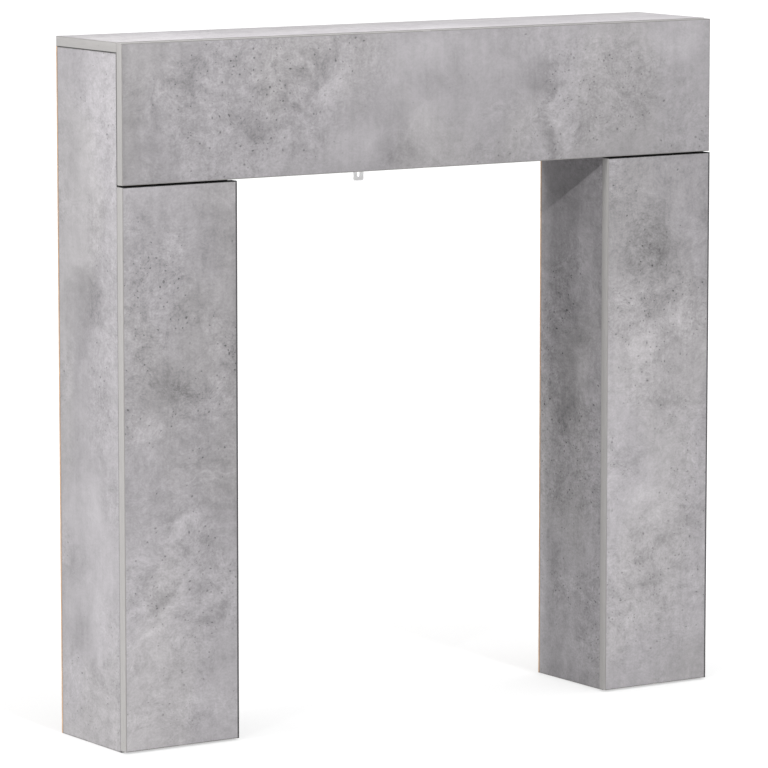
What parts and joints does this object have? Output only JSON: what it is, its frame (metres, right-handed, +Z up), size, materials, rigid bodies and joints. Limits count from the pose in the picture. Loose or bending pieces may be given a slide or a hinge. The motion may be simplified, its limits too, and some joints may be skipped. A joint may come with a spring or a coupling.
{
  "type": "fireplace mantelpiece",
  "caption": "Freestanding board-built fireplace surround with two square hollow legs, a deep header and a flat mantel top in concrete-look laminate, with a wall-fixing bracket.",
  "frame": {"origin": "middle of the footprint, on the floor", "axes": "+Z up; +X to the right along the mantel as seen from the front; the front faces -Y and the back goes against the wall at +Y"},
  "size_m": [1.045, 0.189, 1.03],
  "materials": {
    "concrete_laminate": "matt concrete-print melamine laminate on particle board, cloudy grey with small pores",
    "hardboard": "bare brown hardboard, matt",
    "bracket_metal": "bright zinc-plated steel"
  },
  "bodies": {
    "root": {"top_board": "concrete_laminate", "header_front": "concrete_laminate", "header_bottom_board": "concrete_laminate", "header_back_panel": "hardboard", "left_outer_side": "concrete_laminate", "left_inner_side": "concrete_laminate", "left_leg_front": "concrete_laminate", "left_leg_back_panel": "hardboard", "right_outer_side": "concrete_laminate", "right_inner_side": "concrete_laminate", "right_leg_front": "concrete_laminate", "right_leg_back_panel": "hardboard", "wall_bracket": "bracket_metal"}
  },
  "joints": []
}
